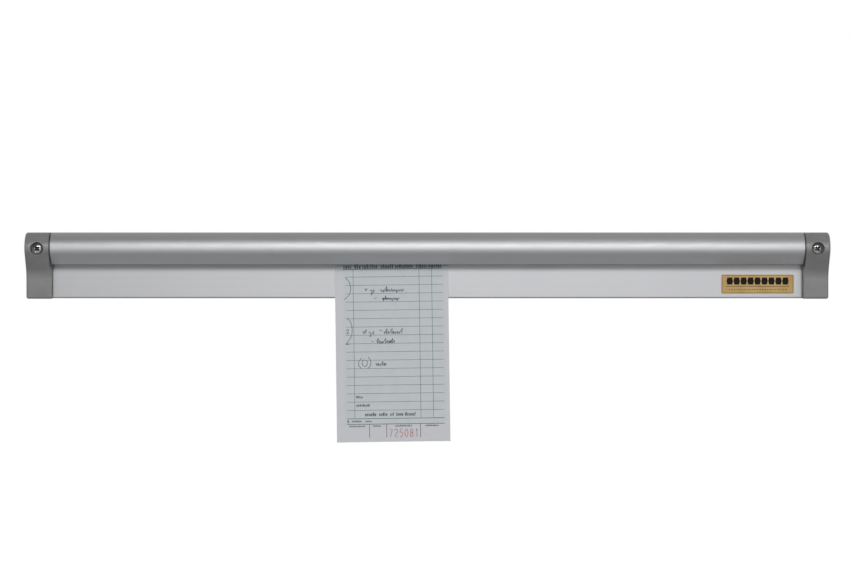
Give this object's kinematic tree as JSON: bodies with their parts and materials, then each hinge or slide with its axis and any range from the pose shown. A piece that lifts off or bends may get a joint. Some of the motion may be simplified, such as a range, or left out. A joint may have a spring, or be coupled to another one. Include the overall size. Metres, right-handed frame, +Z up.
{
  "type": "order ticket rail",
  "caption": "Wall-mounted aluminium ticket rail whose rounded hood holds glass balls on a sloping floor, pinching paper slips against the back plate, with moulded end caps and screws.",
  "frame": {"origin": "middle of the rail's flat back face, on the wall plane, half way along its length and half way up the back plate", "axes": "+X along the rail to the right as seen from the front, +Y into the wall, +Z up; the hood faces -Y"},
  "size_m": [0.6096, 0.038, 0.1599],
  "materials": {
    "anodised_aluminium": "satin anodised, fine lines along the extrusion",
    "moulded_cap": "fine moulded texture, mid grey",
    "screw_steel": "bright plated",
    "gold_foil": "gold foil, satin",
    "slip_paper": "uncoated, pale green tint",
    "ball_glass": "clear, faint green tint"
  },
  "bodies": {
    "rail": {"rail_extrusion": "anodised_aluminium", "end_cap_left": "moulded_cap", "end_cap_right": "moulded_cap", "mounting_screw_left": "screw_steel", "mounting_screw_right": "screw_steel", "foil_label": "gold_foil"},
    "slip": {"order_slip": "slip_paper"},
    "ball_01": {"glass_ball_01": "ball_glass"},
    "ball_02": {"glass_ball_02": "ball_glass"},
    "ball_03": {"glass_ball_03": "ball_glass"},
    "ball_04": {"glass_ball_04": "ball_glass"},
    "ball_05": {"glass_ball_05": "ball_glass"},
    "ball_06": {"glass_ball_06": "ball_glass"},
    "ball_07": {"glass_ball_07": "ball_glass"},
    "ball_08": {"glass_ball_08": "ball_glass"},
    "ball_09": {"glass_ball_09": "ball_glass"},
    "ball_10": {"glass_ball_10": "ball_glass"},
    "ball_11": {"glass_ball_11": "ball_glass"},
    "ball_12": {"glass_ball_12": "ball_glass"},
    "ball_13": {"glass_ball_13": "ball_glass"},
    "ball_14": {"glass_ball_14": "ball_glass"},
    "ball_15": {"glass_ball_15": "ball_glass"},
    "ball_16": {"glass_ball_16": "ball_glass"},
    "ball_17": {"glass_ball_17": "ball_glass"},
    "ball_18": {"glass_ball_18": "ball_glass"},
    "ball_19": {"glass_ball_19": "ball_glass"},
    "ball_20": {"glass_ball_20": "ball_glass"},
    "ball_21": {"glass_ball_21": "ball_glass"},
    "ball_22": {"glass_ball_22": "ball_glass"},
    "ball_23": {"glass_ball_23": "ball_glass"},
    "ball_24": {"glass_ball_24": "ball_glass"},
    "ball_25": {"glass_ball_25": "ball_glass"},
    "ball_26": {"glass_ball_26": "ball_glass"},
    "ball_27": {"glass_ball_27": "ball_glass"},
    "ball_28": {"glass_ball_28": "ball_glass"},
    "ball_29": {"glass_ball_29": "ball_glass"},
    "ball_30": {"glass_ball_30": "ball_glass"},
    "ball_31": {"glass_ball_31": "ball_glass"},
    "ball_32": {"glass_ball_32": "ball_glass"},
    "ball_33": {"glass_ball_33": "ball_glass"},
    "ball_34": {"glass_ball_34": "ball_glass"},
    "ball_35": {"glass_ball_35": "ball_glass"},
    "ball_36": {"glass_ball_36": "ball_glass"},
    "ball_37": {"glass_ball_37": "ball_glass"},
    "ball_38": {"glass_ball_38": "ball_glass"}
  },
  "joints": [
    {"name": "slip_pull", "type": "slide", "parent": "rail", "child": "slip", "axis": [0, 0, -1], "range_m": [0, 0.05]},
    {"name": "ball_01_lift", "type": "slide", "parent": "rail", "child": "ball_01", "axis": [0, -0.8, 0.6], "range_m": [0, 0.0045]},
    {"name": "ball_02_lift", "type": "slide", "parent": "rail", "child": "ball_02", "axis": [0, -0.8, 0.6], "range_m": [0, 0.0045]},
    {"name": "ball_03_lift", "type": "slide", "parent": "rail", "child": "ball_03", "axis": [0, -0.8, 0.6], "range_m": [0, 0.0045]},
    {"name": "ball_04_lift", "type": "slide", "parent": "rail", "child": "ball_04", "axis": [0, -0.8, 0.6], "range_m": [0, 0.0045]},
    {"name": "ball_05_lift", "type": "slide", "parent": "rail", "child": "ball_05", "axis": [0, -0.8, 0.6], "range_m": [0, 0.0045]},
    {"name": "ball_06_lift", "type": "slide", "parent": "rail", "child": "ball_06", "axis": [0, -0.8, 0.6], "range_m": [0, 0.0045]},
    {"name": "ball_07_lift", "type": "slide", "parent": "rail", "child": "ball_07", "axis": [0, -0.8, 0.6], "range_m": [0, 0.0045]},
    {"name": "ball_08_lift", "type": "slide", "parent": "rail", "child": "ball_08", "axis": [0, -0.8, 0.6], "range_m": [0, 0.0045]},
    {"name": "ball_09_lift", "type": "slide", "parent": "rail", "child": "ball_09", "axis": [0, -0.8, 0.6], "range_m": [0, 0.0045]},
    {"name": "ball_10_lift", "type": "slide", "parent": "rail", "child": "ball_10", "axis": [0, -0.8, 0.6], "range_m": [0, 0.0045]},
    {"name": "ball_11_lift", "type": "slide", "parent": "rail", "child": "ball_11", "axis": [0, -0.8, 0.6], "range_m": [0, 0.0045]},
    {"name": "ball_12_lift", "type": "slide", "parent": "rail", "child": "ball_12", "axis": [0, -0.8, 0.6], "range_m": [0, 0.0045]},
    {"name": "ball_13_lift", "type": "slide", "parent": "rail", "child": "ball_13", "axis": [0, -0.8, 0.6], "range_m": [0, 0.0045]},
    {"name": "ball_14_lift", "type": "slide", "parent": "rail", "child": "ball_14", "axis": [0, -0.8, 0.6], "range_m": [0, 0.0045]},
    {"name": "ball_15_lift", "type": "slide", "parent": "rail", "child": "ball_15", "axis": [0, -0.8, 0.6], "range_m": [0, 0.0045]},
    {"name": "ball_16_lift", "type": "slide", "parent": "rail", "child": "ball_16", "axis": [0, -0.8, 0.6], "range_m": [0, 0.0045]},
    {"name": "ball_17_lift", "type": "slide", "parent": "rail", "child": "ball_17", "axis": [0, -0.8, 0.6], "range_m": [0, 0.0045]},
    {"name": "ball_18_lift", "type": "slide", "parent": "rail", "child": "ball_18", "axis": [0, -0.8, 0.6], "range_m": [0, 0.0045]},
    {"name": "ball_19_lift", "type": "slide", "parent": "rail", "child": "ball_19", "axis": [0, -0.8, 0.6], "range_m": [0, 0.0045]},
    {"name": "ball_20_lift", "type": "slide", "parent": "rail", "child": "ball_20", "axis": [0, -0.8, 0.6], "range_m": [0, 0.0045]},
    {"name": "ball_21_lift", "type": "slide", "parent": "rail", "child": "ball_21", "axis": [0, -0.8, 0.6], "range_m": [0, 0.0045]},
    {"name": "ball_22_lift", "type": "slide", "parent": "rail", "child": "ball_22", "axis": [0, -0.8, 0.6], "range_m": [0, 0.0045]},
    {"name": "ball_23_lift", "type": "slide", "parent": "rail", "child": "ball_23", "axis": [0, -0.8, 0.6], "range_m": [0, 0.0045]},
    {"name": "ball_24_lift", "type": "slide", "parent": "rail", "child": "ball_24", "axis": [0, -0.8, 0.6], "range_m": [0, 0.0045]},
    {"name": "ball_25_lift", "type": "slide", "parent": "rail", "child": "ball_25", "axis": [0, -0.8, 0.6], "range_m": [0, 0.0045]},
    {"name": "ball_26_lift", "type": "slide", "parent": "rail", "child": "ball_26", "axis": [0, -0.8, 0.6], "range_m": [0, 0.0045]},
    {"name": "ball_27_lift", "type": "slide", "parent": "rail", "child": "ball_27", "axis": [0, -0.8, 0.6], "range_m": [0, 0.0045]},
    {"name": "ball_28_lift", "type": "slide", "parent": "rail", "child": "ball_28", "axis": [0, -0.8, 0.6], "range_m": [0, 0.0045]},
    {"name": "ball_29_lift", "type": "slide", "parent": "rail", "child": "ball_29", "axis": [0, -0.8, 0.6], "range_m": [0, 0.0045]},
    {"name": "ball_30_lift", "type": "slide", "parent": "rail", "child": "ball_30", "axis": [0, -0.8, 0.6], "range_m": [0, 0.0045]},
    {"name": "ball_31_lift", "type": "slide", "parent": "rail", "child": "ball_31", "axis": [0, -0.8, 0.6], "range_m": [0, 0.0045]},
    {"name": "ball_32_lift", "type": "slide", "parent": "rail", "child": "ball_32", "axis": [0, -0.8, 0.6], "range_m": [0, 0.0045]},
    {"name": "ball_33_lift", "type": "slide", "parent": "rail", "child": "ball_33", "axis": [0, -0.8, 0.6], "range_m": [0, 0.0045]},
    {"name": "ball_34_lift", "type": "slide", "parent": "rail", "child": "ball_34", "axis": [0, -0.8, 0.6], "range_m": [0, 0.0045]},
    {"name": "ball_35_lift", "type": "slide", "parent": "rail", "child": "ball_35", "axis": [0, -0.8, 0.6], "range_m": [0, 0.0045]},
    {"name": "ball_36_lift", "type": "slide", "parent": "rail", "child": "ball_36", "axis": [0, -0.8, 0.6], "range_m": [0, 0.0045]},
    {"name": "ball_37_lift", "type": "slide", "parent": "rail", "child": "ball_37", "axis": [0, -0.8, 0.6], "range_m": [0, 0.0045]},
    {"name": "ball_38_lift", "type": "slide", "parent": "rail", "child": "ball_38", "axis": [0, -0.8, 0.6], "range_m": [0, 0.0045]}
  ]
}
